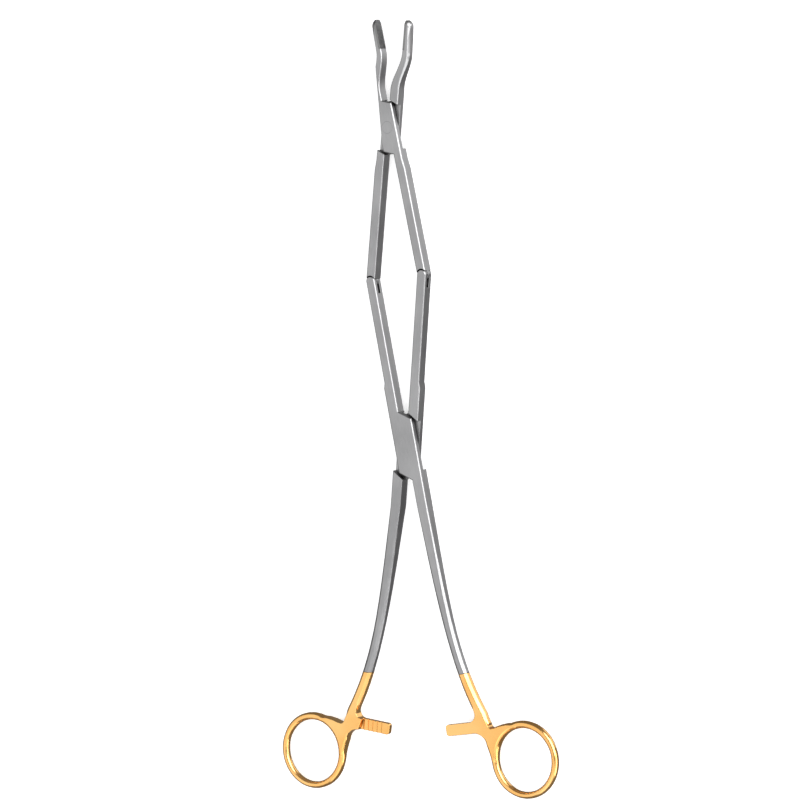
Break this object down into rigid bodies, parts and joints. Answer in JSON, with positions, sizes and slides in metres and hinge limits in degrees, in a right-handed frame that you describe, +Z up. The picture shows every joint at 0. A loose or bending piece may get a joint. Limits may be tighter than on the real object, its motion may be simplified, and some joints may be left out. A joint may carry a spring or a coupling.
{
  "type": "needle holder",
  "caption": "Long double-action surgical needle holder: crossed handle levers with finger rings and ratchet bars drive crossed jaw levers with side-set jaws and hard inserts.",
  "frame": {"origin": "on the rear joint's axis, at the underside that the instrument lies on", "axes": "+Z up through the thickness, +Y along the instrument to the jaws, +X to the right lever's ring"},
  "size_m": [0.1141, 0.2801, 0.0048],
  "materials": {
    "handle_steel": "satin stainless steel, with the last part of the shank, the ratchet bar and the ring plated in bright gold",
    "jaw_steel": "satin stainless steel",
    "carbide": "dark grey sintered carbide with a fine cross-cut gripping face",
    "rivet_steel": "ground flush and satin"
  },
  "bodies": {
    "right_handle": {"handle_lever_right": "handle_steel", "rear_rivet": "rivet_steel", "middle_rivet_left": "rivet_steel"},
    "left_handle": {"handle_lever_left": "handle_steel", "middle_rivet_right": "rivet_steel"},
    "right_jaw": {"jaw_lever_right": "jaw_steel", "jaw_insert_right": "carbide", "front_rivet": "rivet_steel"},
    "left_jaw": {"jaw_lever_left": "jaw_steel", "jaw_insert_left": "carbide"}
  },
  "joints": [
    {"name": "rear_pivot", "type": "hinge", "parent": "right_handle", "child": "left_handle", "pos_m": [0, 0, 0.0024], "axis": [0, 0, 1], "range_deg": [-14, 15.8]},
    {"name": "left_middle_pivot", "type": "hinge", "parent": "right_handle", "child": "right_jaw", "pos_m": [-0.0106, 0.05956, 0.0024], "axis": [0, 0, 1], "range_deg": [-14.86, 16.76]},
    {"name": "front_pivot", "type": "hinge", "parent": "right_jaw", "child": "left_jaw", "pos_m": [0, 0.11425, 0.0024], "axis": [0, 0, 1], "range_deg": [-17.75, 15.73]}
  ],
  "couplings": [
    {"joint": "left_middle_pivot", "follows": "rear_pivot", "ratio": 1.0608},
    {"joint": "front_pivot", "follows": "rear_pivot", "ratio": -1.1233}
  ]
}
